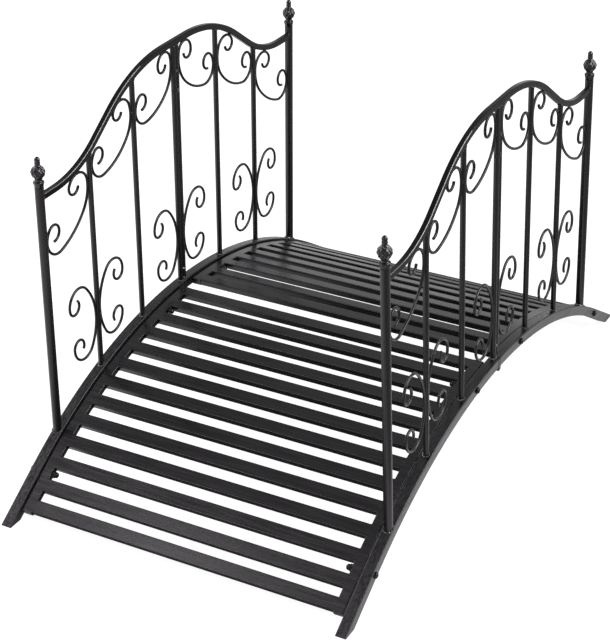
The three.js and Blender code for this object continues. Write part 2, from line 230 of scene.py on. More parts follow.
class BentBar:
    """Centre line of a bar bent in one plane, from (x, y), through stretches of (length, turn in degrees)."""

    def __init__(self, x, y, heading, stretches, sag=SAG):
        rows = []
        angle = math.radians(heading)
        for length, turn in stretches:
            bend = math.radians(turn)
            steps = max(1, round(math.sqrt(abs(bend) * length / (8 * sag))), round(length / LONGEST_STEP))
            along = np.linspace(0, length, steps + 1)
            if rows:
                along = along[1:]
            if bend:
                curvature = bend / length
                end = angle + curvature * along
                xs = x + (np.sin(end) - math.sin(angle)) / curvature
                ys = y - (np.cos(end) - math.cos(angle)) / curvature
            else:
                end = np.full(len(along), angle)
                xs = x + along * math.cos(angle)
                ys = y + along * math.sin(angle)
            rows.append(np.column_stack((xs, ys, end)))
            x, y, angle = xs[-1], ys[-1], angle + bend
        self.stations = np.vstack(rows)

    def low(self):
        return self.stations[:, :2].min(0)

    def high(self):
        return self.stations[:, :2].max(0)

    def height_at(self, x, offset):
        """Height above x of the curve that runs beside this one, offset to its left."""
        xs, ys, angle = self.stations.T
        return np.interp(x, xs - offset * np.sin(angle), ys + offset * np.cos(angle))


# ---------------------------------------------------------------- mesh building


class Shells:
    """Closed shells gathered into one mesh. Points are drawn as (along, up, across)."""

    def __init__(self):
        self.points = []
        self.faces = []
        self.count = 0

    def add(self, points, faces):
        """Adds a closed shell, turned so that its faces look outwards."""
        points = np.asarray(points, float)
        volume = 0.0
        for face in faces:
            corners = points[list(face)]
            for i in range(1, len(corners) - 1):
                volume += np.dot(corners[0], np.cross(corners[i], corners[i + 1]))
        if volume < 0:
            faces = [tuple(reversed(face)) for face in faces]
        self.points.append(points)
        self.faces += [tuple(i + self.count for i in face) for face in faces]
        self.count += len(points)
        return self

    def merge(self, other):
        self.points += other.points
        self.faces += [tuple(i + self.count for i in face) for face in other.faces]
        self.count += other.count
        return self

    def moved(self, change):
        copy = Shells()
        copy.points = [change(points) for points in self.points]
        copy.faces = list(self.faces)
        copy.count = self.count
        return copy


def turns(sides):
    """Angles spaced evenly around a full circle."""
    return np.linspace(0, 2 * math.pi, sides, endpoint=False)


def ring_faces(rings, size, closed=False):
    """Faces between rings of points, with a cap at either end unless the rings close on themselves."""
    faces = []
    for ring in range(rings if closed else rings - 1):
        here = ring * size
        there = (ring + 1) % rings * size
        for i in range(size):
            j = (i + 1) % size
            faces.append((here + i, here + j, there + j, there + i))
    if not closed:
        faces.append(tuple(range(size)))
        faces.append(tuple((rings - 1) * size + i for i in reversed(range(size))))
    return faces


def sweep(section, stations, scales=None):
    """A section of (across, left) points carried along stations of (x, y, angle)."""
    section = np.asarray(section, float)
    scales = np.ones(len(stations)) if scales is None else scales
    rings = []
    for (x, y, angle), scale in zip(stations, scales):
        across, left = section.T * scale
        rings.append(np.column_stack((x - left * math.sin(angle), y + left * math.cos(angle), across)))
    return np.vstack(rings), ring_faces(len(stations), len(section))


def rounded_rectangle(width, height, radius):
    """Corner arcs, each with a point beside it on either flat, so that the flats shade flat."""
    corners = []
    for cx, cy, start in ((1, 1, 0), (-1, 1, 90), (-1, -1, 180), (1, -1, 270)):
        centre = np.array([cx * (width / 2 - radius), cy * (height / 2 - radius)])
        turn = np.radians(start + np.linspace(0, 90, CORNER_FACETS + 1))
        spokes = np.column_stack((np.cos(turn), np.sin(turn)))
        before = spokes[0] * radius - spokes[-1] * FLAT_MARGIN
        after = spokes[-1] * radius - spokes[0] * FLAT_MARGIN
        corners += [centre + before, *(centre + radius * spokes), centre + after]
    return np.array(corners)


def rod(path):
    """A round rod along a bent path, its cut ends slightly rounded over."""
    turn = turns(ROD_SIDES)
    circle = np.column_stack((ROD_RADIUS * np.cos(turn), ROD_RADIUS * np.sin(turn)))
    first, last = path.stations[0], path.stations[-1]

    def inward(station, sign):
        heading = np.array([math.cos(station[2]), math.sin(station[2]), 0])
        return station + heading * sign * ROD_END_STEP * ROD_RADIUS

    rows = [first, inward(first, 1), *path.stations[1:-1], inward(last, -1), last]
    scales = np.ones(len(rows))
    scales[0] = scales[-1] = ROD_END_SIZE
    return sweep(circle, rows, scales)


def revolve(profile, sides, along, shape):
    """A profile of (radius, height) turned about an upright axis. The shape scales the radii of a ring."""
    turn = turns(sides)
    rings = []
    for radius, height in profile:
        radii = radius * shape(turn, height)
        ring = (along + radii * np.cos(turn), np.full(sides, height), radii * np.sin(turn))
        rings.append(np.column_stack(ring))
    return np.vstack(rings), ring_faces(len(profile), sides)


def upright(along, radius, sides, floor, ceiling):
    """A tube whose ends follow the surfaces that it stands on and meets."""
    turn = turns(sides)
    x = along + radius * np.cos(turn)
    z = radius * np.sin(turn)
    low, high = floor(x), ceiling(x)
    levels = np.linspace(0, 1, UPRIGHT_RINGS)
    points = np.vstack([np.column_stack((x, low + (high - low) * t, z)) for t in levels])
    return points, ring_faces(UPRIGHT_RINGS, sides)


def bead(centres, outward, normals, radius, ripple=RIPPLE, sides=BEAD_SIDES):
    """A weld bead: a closed ring of small rounded ripples that follows a joint."""
    count = len(centres)
    waves = max(3, count // 5)
    phase = rng.uniform(0, 2 * math.pi)
    swell = 1 + ripple * np.sin(turns(count) * waves + phase)
    swell = swell + rng.uniform(-ripple / 2, ripple / 2, count)
    points = []
    for centre, out, normal, grow in zip(centres, outward, normals, swell):
        for angle in turns(sides):
            points.append(centre + radius * grow * (math.cos(angle) * out + math.sin(angle) * normal))
    return np.array(points), ring_faces(count, sides, closed=True)


def blob(centre, size, tilt=0.0):
    """A lump of weld metal: an uneven rounded drop of the given half sizes, tilted in the drawing plane."""
    rows, sides = BLOB_ROWS, 2 * BLOB_ROWS
    points = [(0.0, 1.0, 0.0)]
    for i in range(1, rows):
        fall = math.pi * i / rows
        for turn in turns(sides):
            points.append((math.sin(fall) * math.cos(turn), math.cos(fall), math.sin(fall) * math.sin(turn)))
    points.append((0.0, -1.0, 0.0))
    points = np.array(points)
    phase = rng.uniform(0, 2 * math.pi, 3)
    lumps = 1 + BLOB_LUMP * np.sin(points * (5, 6, 5) + phase).sum(1)
    x, y, z = (points * lumps[:, None] * np.array(size)).T
    cos, sin = math.cos(tilt), math.sin(tilt)
    points = np.column_stack((x * cos - y * sin, x * sin + y * cos, z)) + np.array(centre)
    faces = [(0, 1 + (j + 1) % sides, 1 + j) for j in range(sides)]
    for i in range(rows - 2):
        here, there = 1 + i * sides, 1 + (i + 1) * sides
        for j in range(sides):
            k = (j + 1) % sides
            faces.append((here + j, here + k, there + k, there + j))
    last = len(points) - 1
    here = 1 + (rows - 2) * sides
    faces += [(last, here + j, here + (j + 1) % sides) for j in range(sides)]
    return points, faces


def turned(profile, sides, axis, origin, shape=None):
    """A profile of (radius, distance) turned about a level axis, a unit vector, from an origin."""
    axis = np.array(axis, float)
    side = np.cross(axis, [0.0, 1.0, 0.0])
    side /= np.linalg.norm(side)
    other = np.cross(axis, side)
    turn = turns(sides)
    rings = []
    for radius, distance in profile:
        radii = radius * (shape(turn) if shape else 1)
        spokes = np.outer(radii * np.cos(turn), side) + np.outer(radii * np.sin(turn), other)
        rings.append(np.array(origin) + axis * distance + spokes)
    return np.vstack(rings), ring_faces(len(profile), sides)


def hexagon(turn):
    """How far out the flats of a hexagon lie at each turn, as a share of the corner radius."""
    within = (turn + 1e-9) % (math.pi / 3) - math.pi / 6
    return math.cos(math.pi / 6) / np.cos(within)


def trim(points, faces, place, outward):
    """Cuts a closed shell at a plane, drops what lies beyond it and closes the cut."""
    work = bmesh.new()
    made = [work.verts.new(point) for point in points]
    for face in faces:
        work.faces.new([made[i] for i in face])
    everything = [*work.verts, *work.edges, *work.faces]
    bmesh.ops.bisect_plane(
        work, geom=everything, dist=CUT_TOLERANCE, plane_co=place, plane_no=outward, clear_outer=True,
    )
    rim = [edge for edge in work.edges if edge.is_boundary]
    bmesh.ops.edgeloop_fill(work, edges=rim)
    work.verts.index_update()
    kept = np.array([vert.co[:] for vert in work.verts])
    loops = [tuple(vert.index for vert in face.verts) for face in work.faces]
    work.free()
    return kept, loops


def run_along(line):
    """Distance along a line of (x, y) points, at each of them."""
    return np.concatenate(([0], np.cumsum(np.hypot(*np.diff(line, axis=0).T))))


# ---------------------------------------------------------------- the arch

ARCH_CENTRE_Z = CROWN_Z - ARCH_RADIUS
FOOT_SLOPE = math.asin(ARCH_HALF_SPAN / ARCH_RADIUS)


def arch_height(along, depth=0.0):
    """Height of a line that runs parallel to the arch, a given depth below its top face."""
    radius = ARCH_RADIUS - depth
    y = np.abs(np.asarray(along, float))
    arc_end = radius * math.sin(FOOT_SLOPE)
    on_arc = ARCH_CENTRE_Z + np.sqrt(radius**2 - np.minimum(y, arc_end) ** 2)
    return on_arc - np.maximum(0, y - arc_end) * math.tan(FOOT_SLOPE)


def arch_slope(along):
    """Direction in which the arch heads at a point, in radians."""
    y = max(-ARCH_HALF_SPAN, min(ARCH_HALF_SPAN, along))
    return -math.asin(y / ARCH_RADIUS)


def stringer():
    """Rounded tube of the near half. Its foot is cut level with the ground and square at the tip."""
    section = rounded_rectangle(STRINGER_WIDTH, STRINGER_DEPTH, TUBE_CORNER)
    centre_radius = ARCH_RADIUS - STRINGER_DEPTH / 2
    line = BentBar(0, CROWN_Z - STRINGER_DEPTH / 2, 180, [
        arc(centre_radius, math.degrees(FOOT_SLOPE)), straight(FOOT_RUN),
    ], sag=FINE_SAG)
    points, faces = sweep(section, line.stations)
    points[:len(section), 0] = -FIT_GAP / 2
    points, faces = trim(points, faces, (0, 0, 0), (0, -1, 0))
    points, faces = trim(points, faces, (-HALF_LENGTH, 0, 0), (-1, 0, 0))
    return Shells().add(points, faces)


def flange():
    """End plate welded across the stringer at the crown, where the two halves meet."""
    bottom = float(arch_height(0, STRINGER_DEPTH)) - FLANGE_DROP
    across, up = rounded_rectangle(STRINGER_WIDTH + 2 * FLANGE_LIP, FLANGE_TOP - bottom, FLANGE_CORNER).T
    middle = (FLANGE_TOP + bottom) / 2
    rings = []
    for depth, share in FLANGE_RINGS:
        x = np.full(len(up), -FIT_GAP / 2 - depth)
        rings.append(np.column_stack((x, middle + up * share, across * share)))
    return np.vstack(rings), ring_faces(len(rings), len(up))


# ---------------------------------------------------------------- deck panel

DECK_LINE = BentBar(0, CROWN_Z - DECK_DROP, 180, [
    arc(ARCH_RADIUS - DECK_DROP, math.degrees(FOOT_SLOPE)), straight(DECK_FOOT_RUN),
], sag=DECK_SAG)
DECK_DISTANCE = run_along(DECK_LINE.stations[:, :2])
SLAT_SECTION = rounded_rectangle(SLAT_WIDTH, SLAT_DEPTH, SLAT_CORNER)


def deck_at(distance):
    return np.array([np.interp(distance, DECK_DISTANCE, column) for column in DECK_LINE.stations.T])


def across_deck(distance, outline):
    """Puts an outline of (along, up) points, drawn about a slat's centre, at its place on the arch."""
    x, y, angle = deck_at(distance)
    cos, sin = math.cos(angle - math.pi), math.sin(angle - math.pi)
    along, up = outline[:, 0], outline[:, 1] - SLAT_DEPTH / 2
    return np.column_stack((x + along * cos - up * sin, y + along * sin + up * cos))


def slat(distance):
    """One slat: a flat tube laid across the panel, its long edges rounded."""
    outline = across_deck(distance, SLAT_SECTION)
    half = DECK_HALF_WIDTH - SIDE_BAR_WIDTH + SLAT_TUCK
    places = np.linspace(-half, half, SLAT_RINGS)
    rings = [np.column_stack((outline, np.full(len(outline), z))) for z in places]
    return np.vstack(rings), ring_faces(len(rings), len(outline))


def side_bar(side):
    """The flat bar that carries the ends of the slats on one side."""
    section = rounded_rectangle(SIDE_BAR_WIDTH - SIDE_GAP, SLAT_DEPTH, SLAT_CORNER) + (0, SLAT_DEPTH / 2)
    distances = np.linspace(DECK_CROWN_GAP, DECK_END, SIDE_BAR_RINGS)
    points, faces = sweep(section, [deck_at(distance) for distance in distances])
    points[:, 2] += side * (DECK_HALF_WIDTH - (SIDE_BAR_WIDTH + SIDE_GAP) / 2)
    return points, faces


def even_outline(outline, count):
    """Points evenly spaced around a closed outline."""
    closed = np.vstack((outline, outline[:1]))
    run = run_along(closed)
    at = np.linspace(0, run[-1], count, endpoint=False)
    return np.column_stack([np.interp(at, run, column) for column in closed.T])


def slat_weld(distance, side):
    """The seam around a slat's end, where it meets the side bar. It keeps below the slat's top face."""
    count = SLAT_WELD_POINTS
    outline = even_outline(SLAT_SECTION, count)
    outline[:, 1] = np.minimum(outline[:, 1], SLAT_DEPTH / 2 - SLAT_WELD_DROP)
    across = np.full(count, side * (DECK_HALF_WIDTH - SIDE_BAR_WIDTH))
    centres = np.column_stack((across_deck(distance, outline), across))
    outward = centres - centres.mean(0)
    outward /= np.linalg.norm(outward, axis=1)[:, None]
    normals = np.tile([0.0, 0.0, 1.0], (count, 1))
    return bead(centres, outward, normals, SLAT_WELD_SIZE, sides=SLAT_BEAD_SIDES)


def slat_places(second_shift):
    """How far along the deck the middle of each slat lies."""
    places = DECK_CROWN_GAP + SLAT_WIDTH / 2 + np.arange(SLAT_COUNT) * SLAT_PITCH
    places[1] -= second_shift
    places[-1] = DECK_END - END_SLAT_INSET - SLAT_WIDTH / 2
    return places


def deck_panel(second_shift):
    shells = Shells()
    for side in (-1, 1):
        shells.add(*side_bar(side))
    for distance in slat_places(second_shift):
        shells.add(*slat(distance))
        for side in (-1, 1):
            shells.add(*slat_weld(distance, side))
    return shells


# ---------------------------------------------------------------- railing

RAIL_START = -(POST_Y - POST_RADIUS - FIT_GAP)
RAIL_STRETCHES = [
    straight(-RAIL_START - RAIL_LEVEL_END),
    arc(RAIL_LOWER_RADIUS, RAIL_PITCH),
    straight(RAIL_STRAIGHT),
    arc(RAIL_UPPER_RADIUS, -RAIL_PITCH),
]
crest_start = BentBar(RAIL_START, RAIL_END_Z, 0, RAIL_STRETCHES).stations[-1][0]
RAIL_STRETCHES.append(straight(-FIT_GAP / 2 - crest_start))
RAIL_LINE = BentBar(RAIL_START, RAIL_END_Z, 0, RAIL_STRETCHES, sag=FINE_SAG)
RAIL_SECTION = rounded_rectangle(RAIL_WIDTH, RAIL_HEIGHT, RAIL_CORNER)


def handrail():
    return Shells().add(*sweep(RAIL_SECTION, RAIL_LINE.stations))


def under_rail(x):
    """Height at which an upright ends, just under the handrail."""
    return RAIL_LINE.height_at(x, -RAIL_HEIGHT / 2) - FIT_GAP


def rail_slope(x, step=1 * MM):
    return math.atan2(under_rail(x + step) - under_rail(x - step), 2 * step)


def on_stringer(x):
    """Height at which an upright starts, just above the stringer."""
    return arch_height(x) + FIT_GAP


def round_weld(along, radius, weld, surface, slope, ripple=RIPPLE, widest=math.inf):
    """Weld around an upright where it meets a surface, whose height at x is surface(x)."""
    out, size, count = weld
    turn = turns(count)
    x = along + (radius + out) * np.cos(turn)
    across = np.clip((radius + out) * np.sin(turn), -widest, widest)
    outward = np.column_stack((np.cos(turn) * math.cos(slope), np.cos(turn) * math.sin(slope), np.sin(turn)))
    normals = np.tile([-math.sin(slope), math.cos(slope), 0.0], (count, 1))
    return bead(np.column_stack((x, surface(x), across)), outward, normals, size, ripple)


def foot_weld(along, radius, weld):
    """Weld around the foot of an upright, where it stands on the stringer."""
    return round_weld(
        along, radius, weld, lambda x: arch_height(x) + FOOT_WELD_RISE, arch_slope(along), FOOT_RIPPLE,
    )


def post():
    shells = Shells()
    shells.add(*upright(
        -POST_Y, POST_RADIUS, POST_SIDES, on_stringer, lambda x: np.full(len(x), POST_TOP_Z),
    ))
    # where the handrail is welded to the post
    across, up = RAIL_SECTION.T * RAIL_WELD_SHARE
    angle = np.arcsin(across / POST_RADIUS)
    centres = np.column_stack((-POST_Y + POST_RADIUS * np.cos(angle), RAIL_END_Z + up, across))
    outward = np.column_stack((np.zeros(len(up)), up, across))
    outward /= np.linalg.norm(outward, axis=1)[:, None]
    return shells.add(*bead(centres, outward, np.tile([1.0, 0.0, 0.0], (len(up), 1)), RAIL_WELD_SIZE))


def baluster(along):
    shells = Shells().add(*upright(-along, BALUSTER_RADIUS, BALUSTER_SIDES, on_stringer, under_rail))
    return shells.add(*round_weld(
        -along, BALUSTER_RADIUS, BALUSTER_TOP_WELD, lambda x: under_rail(x) - TOP_WELD_DROP,
        rail_slope(-along), widest=RAIL_WIDTH / 2,
    ))


def base_welds():
    """The uneven beads at the feet of the post and the balusters of one railing half."""
    shells = Shells().add(*foot_weld(-POST_Y, POST_RADIUS, POST_FOOT_WELD))
    for along in (OUTER_BALUSTER_Y, INNER_BALUSTER_Y, CENTRE_BALUSTER_Y):
        shells.add(*foot_weld(-along, BALUSTER_RADIUS, BALUSTER_FOOT_WELD))
    return shells


# ---------------------------------------------------------------- finial


def finial_relief(turn, height):
    """How far the scales of the ball and the scallops of the cup stand out, as a share of the radius."""
    h = (height - FINIAL_BASE_Z) / MM
    if BALL_LOW < h < BALL_HIGH:
        fade = min(1.0, (h - BALL_LOW) / BALL_FADE, (BALL_HIGH - h) / BALL_FADE)
        around = SCALES_ROUND * turn / (2 * math.pi)
        row = (h - BALL_LOW) / SCALE_ROW
        boss = np.abs(np.cos(math.pi * (around + row / 2)) * np.cos(math.pi * (around - row / 2)))
        return 1 + SCALE_LIFT * fade - SCALE_DEPTH * fade * (1 - boss**SCALE_SHARPNESS)
    if h < CUP_HIGH:
        fade = min(1.0, max(0.0, (h - CUP_START) / CUP_FADE))
        return 1 - CUP_DEPTH * fade * (0.5 - 0.5 * np.cos(CUP_SCALLOPS * turn))
    return np.ones(len(turn))


def finial():
    """Cast finial: a flared cup, a ball of overlapping scales and a knob with a waist."""
    profile = np.array(FINIAL_PROFILE)
    run = run_along(profile)
    fine = np.linspace(0, run[-1], FINIAL_RINGS)
    smooth = np.column_stack([np.interp(fine, run, column) for column in profile.T])
    for _ in range(FINIAL_SMOOTHINGS):
        smooth[1:-1] = (smooth[:-2] + 2 * smooth[1:-1] + smooth[2:]) / 4
    rows = [(radius * MM, FINIAL_BASE_Z + height * MM) for radius, height in smooth]
    return Shells().add(*revolve(rows, FINIAL_SIDES, -POST_Y, finial_relief))


# ---------------------------------------------------------------- scrollwork

BAYS = {
    "outer": (-POST_Y + POST_RADIUS, -OUTER_BALUSTER_Y - BALUSTER_RADIUS),
    "middle": (-OUTER_BALUSTER_Y + BALUSTER_RADIUS, -INNER_BALUSTER_Y - BALUSTER_RADIUS),
    "inner": (-INNER_BALUSTER_Y + BALUSTER_RADIUS, -CENTRE_BALUSTER_Y - BALUSTER_RADIUS),
}


def upper_scroll(name):
    """A scroll that hangs under the handrail and fills its bay, welded at both uprights and at the rail."""
    left, right = BAYS[name]
    heading, bends = UPPER_SCROLLS[name]
    reach = ROD_RADIUS + FIT_GAP

    def bent(x, y, scale):
        return BentBar(x, y, heading, [arc(radius * MM * scale, -turn) for radius, turn in bends])

    drawn = bent(0, 0, 1)
    scale = (right - left - 2 * reach) / (drawn.high()[0] - drawn.low()[0])
    placed = bent(0, 0, scale)
    x = left + reach - placed.low()[0]
    xs, ys = placed.stations[:, 0] + x, placed.stations[:, 1]
    slope_reach = reach / math.cos(math.radians(RAIL_PITCH))
    room = RAIL_LINE.height_at(xs, -RAIL_HEIGHT / 2) - slope_reach - ys
    path = bent(x, room.min(), scale)
    stations = path.stations
    left_x, left_y, _ = stations[stations[:, 0].argmin()]
    right_x, right_y, _ = stations[stations[:, 0].argmax()]
    under_x, under_y, _ = stations[room.argmin()]
    slope = rail_slope(under_x)
    touch = (under_x - ROD_RADIUS * math.sin(slope), under_y + ROD_RADIUS * math.cos(slope), 0.0)
    shells = Shells().add(*rod(path))
    shells.add(*blob((left_x - ROD_RADIUS, left_y, 0.0), UPPER_SPOT))
    shells.add(*blob((right_x + ROD_RADIUS, right_y, 0.0), UPPER_SPOT))
    return shells.add(*blob(touch, UPPER_SPOT, slope + math.pi / 2))


def lower_scroll(along, middle, side):
    """A C-shaped scroll whose back is welded to a baluster. It opens towards negative x when side is -1."""
    start, bent = LOWER_SCROLL
    heading = start if side < 0 else 180 - start
    bends = [arc(radius * MM, side * turn) for radius, turn in bent]
    drawn = BentBar(0, 0, heading, bends)
    low, high = drawn.low(), drawn.high()
    back = high[0] if side < 0 else low[0]
    x = along + side * (BALUSTER_RADIUS + ROD_RADIUS - WELD_BITE) - back
    path = BentBar(x, middle - (low[1] + high[1]) / 2, heading, bends)
    shells = Shells().add(*rod(path))
    nearest = path.stations[(side * path.stations[:, 0]).argmin()]
    spot_x = along + side * (BALUSTER_RADIUS + LOWER_SPOT_OUT)
    for offset in (-LOWER_SPOT_SPREAD, LOWER_SPOT_SPREAD):
        shells.add(*blob((spot_x, nearest[1] + offset, 0.0), LOWER_SPOT))
    return shells


def outer_baluster():
    return baluster(OUTER_BALUSTER_Y).merge(
        lower_scroll(-OUTER_BALUSTER_Y, OUTER_SCROLL_Z, -1)
    ).merge(lower_scroll(-OUTER_BALUSTER_Y, INNER_SCROLL_Z, 1))


def centre_baluster():
    return baluster(CENTRE_BALUSTER_Y).merge(lower_scroll(-CENTRE_BALUSTER_Y, CENTRE_SCROLL_Z, -1))


# ---------------------------------------------------------------- fasteners


def fastener(shells, origin, axis, forms, wide, high):
    """Turns (profile, sides, shape) forms about one axis that starts on a face, scaled wide and high."""
    for profile, sides, shape in forms:
        scaled = [(radius * wide * MM, distance * high * MM) for radius, distance in profile]
        shells.add(*turned(scaled, sides, axis, origin, shape))


def bolt_head(shells, origin, axis, size):
    """Domed head with a washer under it."""
    forms = ((BOLT_WASHER, ROUND_SIDES, None), (BOLT_DOME, DOME_SIDES, None))
    fastener(shells, origin, axis, forms, size, size)


def nut(shells, origin, axis):
    """Cap nut: a washer, a hexagon and a domed cap over the bolt's end."""
    forms = (
        (NUT_WASHER, ROUND_SIDES, None), (NUT_BODY, HEXAGON_SIDES, hexagon), (NUT_CAP, ROUND_SIDES, None),
    )
    fastener(shells, origin, axis, forms, NUT_WIDTH, 1)


def stringer_fasteners(side):
    """Bolts through a stringer into the deck panel's side bar, heads outside and nuts under the slats."""
    shells = Shells()
    outside = side * STRINGER_WIDTH / 2
    inside = side * (DECK_HALF_WIDTH - SIDE_BAR_WIDTH - STRINGER_X)
    for along in STRINGER_BOLTS:
        height = float(arch_height(along, STRINGER_DEPTH / 2))
        for sign in (-1, 1):
            bolt_head(shells, (sign * along, height, outside), (0, 0, side), STRINGER_BOLT_SIZE)
            nut(shells, (sign * along, height, inside), (0, 0, -side))
    return shells


def pair_fasteners():
    """Bolts through both centre balusters, which hold the two railing halves together."""
    shells = Shells()
    face = CENTRE_BALUSTER_Y + BALUSTER_RADIUS - PAIR_BOLT_SINK
    for height in PAIR_BOLTS:
        for sign in (-1, 1):
            bolt_head(shells, (sign * face, height, 0.0), (sign, 0, 0), PAIR_BOLT_SIZE)
    return shells


def pair_welds():
    """Tacks in the groove between the two centre balusters, on both of their sides."""
    shells = Shells()
    for height, half in PAIR_TACKS:
        size = [share * half for share in PAIR_TACK_SHAPE]
        for side in (-1, 1):
            shells.add(*blob((0.0, height, side * PAIR_TACK_OUT), size))
    return shells


# ---------------------------------------------------------------- materials


def fresh_tree(holder, kind):
    """An empty node tree for a material or a world, with its output node."""
    holder.use_nodes = True
    tree = holder.node_tree
    tree.nodes.clear()
    return tree, node(tree, kind).inputs["Surface"]


def node(tree, kind, **values):
    made = tree.nodes.new(kind)
    for name, value in values.items():
        setattr(made, name, value)
    return made


def coordinate(tree, kind):
    return node(tree, "ShaderNodeTexCoord").outputs[kind]


def noise(tree, vector, scale, detail, roughness=0.5):
    made = node(tree, "ShaderNodeTexNoise")
    for name, value in (("Scale", scale), ("Detail", detail), ("Roughness", roughness)):
        made.inputs[name].default_value = value
    tree.links.new(vector, made.inputs["Vector"])
    return made.outputs["Fac"]


def remapped(tree, value, source, result=(0.0, 1.0)):
    """A value carried from one range of (low, high) to another."""
    made = node(tree, "ShaderNodeMapRange")
    for name, level in zip(("From Min", "From Max", "To Min", "To Max"), (*source, *result)):
        made.inputs[name].default_value = level
    tree.links.new(value, made.inputs["Value"])
    return made.outputs["Result"]


def ramped(tree, value, steps):
    """A colour ramp through steps of (position, colour)."""
    made = node(tree, "ShaderNodeValToRGB")
    marks = made.color_ramp.elements
    for mark, (position, colour) in zip((marks[0], marks[1]), (steps[0], steps[-1])):
        mark.position, mark.color = position, (*colour, 1)
    for position, colour in steps[1:-1]:
        marks.new(position).color = (*colour, 1)
    tree.links.new(value, made.inputs["Fac"])
    return made.outputs["Color"]


def combined(tree, operation, first, second):
    made = node(tree, "ShaderNodeMath", operation=operation)
    tree.links.new(first, made.inputs[0])
    tree.links.new(second, made.inputs[1])
    return made.outputs[0]


def grey(level):
    return (level, level, level)


def shader_material(name):
    material = bpy.data.materials.new(name)
    tree, surface = fresh_tree(material, "ShaderNodeOutputMaterial")
    shader = node(tree, "ShaderNodeBsdfPrincipled")
    tree.links.new(shader.outputs["BSDF"], surface)
    return material, tree, shader


ALONG_BRIDGE = (60.0, 3.0, 60.0)  # how much the streaks are squeezed on each axis
ALONG_SLATS = (3.0, 60.0, 60.0)
PATCHES = (9.0, 5.0, 0.6)  # scale, detail and roughness of the noise behind the tone
TONES = ((0.3, 0.8), (0.75, 1.25))  # level of that noise, share of the colour
STREAKS = (4.0, 3.0)  # scale and detail of the noise behind the streaks
STREAK_LEVELS = (0.35, 0.75)  # where in that noise the grey of the streaks starts and is full
GLOSS_LEVELS = (0.25, 0.75)  # where it is glossiest and dullest
WORN_GREY = (0.11, 0.11, 0.115)
COAT_TINT = (1.0, 0.93, 1.0)
PEEL_DETAIL = 2.0
PEEL_STRENGTH = 0.35
STEEL_METALLIC = 0.85
STEEL_MOTTLE = (400.0, 3.0)  # scale and detail
STEEL_TONES = ((0.0, (0.007, 0.007, 0.008)), (1.0, (0.04, 0.04, 0.043)))
STEEL_ROUGHNESS = (0.12, 0.26)
BLACK = (0.0045, 0.004, 0.0045)
WELD_GREY = (0.03, 0.028, 0.03)
# lighter grey of a painted highlight along the near handrails' upper corner
HIGHLIGHT_EDGE_GREY = (0.16, 0.152, 0.16)


def powder_coat(
    name, colour, roughness, streak, shine=0.5, mottle=0.06, grain=900.0, grain_depth=0.1 * MM, dust=0.001,
    run=ALONG_BRIDGE,
):
    """Satin powder coat: orange-peel grain, streaks of uneven gloss, and slightly greyer worn patches."""
    material, tree, shader = shader_material(name)
    shader.inputs["Specular IOR Level"].default_value = shine
    shader.inputs["Specular Tint"].default_value = (*COAT_TINT, 1)
    where = coordinate(tree, "Object")
    stretch = node(tree, "ShaderNodeMapping")
    stretch.inputs["Scale"].default_value = run
    tree.links.new(where, stretch.inputs["Vector"])
    rubs = noise(tree, stretch.outputs["Vector"], *STREAKS)

    (low, darker), (high, lighter) = TONES
    dark = [c * darker for c in colour]
    light = [c * lighter + dust for c in colour]
    worn = node(tree, "ShaderNodeMix", data_type="RGBA", blend_type="MIX")
    worn.inputs["B"].default_value = (*WORN_GREY, 1)
    tree.links.new(remapped(tree, rubs, STREAK_LEVELS, (0.0, streak)), worn.inputs["Factor"])
    tree.links.new(ramped(tree, noise(tree, where, *PATCHES), ((low, dark), (high, light))), worn.inputs["A"])
    tree.links.new(worn.outputs["Result"], shader.inputs["Base Color"])

    gloss = remapped(tree, rubs, GLOSS_LEVELS, (roughness - mottle, roughness + mottle))
    tree.links.new(gloss, shader.inputs["Roughness"])

    bump = node(tree, "ShaderNodeBump")
    bump.inputs["Strength"].default_value = PEEL_STRENGTH
    bump.inputs["Distance"].default_value = grain_depth
    tree.links.new(noise(tree, where, grain, PEEL_DETAIL), bump.inputs["Height"])
    tree.links.new(bump.outputs["Normal"], shader.inputs["Normal"])
    return material


def bolt_steel(name):
    """Blackened steel of the fasteners, with a hard sheen."""
    material, tree, shader = shader_material(name)
    shader.inputs["Metallic"].default_value = STEEL_METALLIC
    mottle = noise(tree, coordinate(tree, "Object"), *STEEL_MOTTLE)
    tree.links.new(ramped(tree, mottle, STEEL_TONES), shader.inputs["Base Color"])
    tree.links.new(remapped(tree, mottle, (0.0, 1.0), STEEL_ROUGHNESS), shader.inputs["Roughness"])
    return material


FINISHES = {
    "frame_black": powder_coat(
        "frame_powder_coat", BLACK, roughness=0.29, streak=0.17, shine=0.48, mottle=0.14,
        grain_depth=0.12 * MM,
    ),
    "deck_black": powder_coat(
        "deck_powder_coat", BLACK, roughness=0.25, streak=0.11, mottle=0.08, grain_depth=0.12 * MM,
        run=ALONG_SLATS,
    ),
    "railing_black": powder_coat("railing_powder_coat", BLACK, roughness=0.28, streak=0.04),
    "scroll_black": powder_coat("scroll_powder_coat", BLACK, roughness=0.26, streak=0.02, shine=0.34),
    "casting_black": powder_coat(
        "casting_powder_coat", BLACK, roughness=0.11, streak=0.03, shine=0.55, grain=500.0,
        grain_depth=0.03 * MM,
    ),
}
HANDRAIL_FINISH = powder_coat("handrail_powder_coat", BLACK, roughness=0.22, streak=0.04, shine=0.18)
WELD_FINISH = powder_coat(
    "weld_powder_coat", WELD_GREY, roughness=0.17, streak=0.5, shine=0.9, grain=350.0,
    grain_depth=0.6 * MM, dust=0.06,
)
# painted highlight: a lighter grey coat on the near handrails' upper +x corner, standing in for a lamp's
# glint
RAIL_HIGHLIGHT_FINISH = powder_coat(
    "painted_highlight_edge_coat", HIGHLIGHT_EDGE_GREY, roughness=0.24, streak=0.5, shine=0.9, dust=0.02,
)
BOLT_STEEL = bolt_steel("fastener_steel")

# ---------------------------------------------------------------- assembly


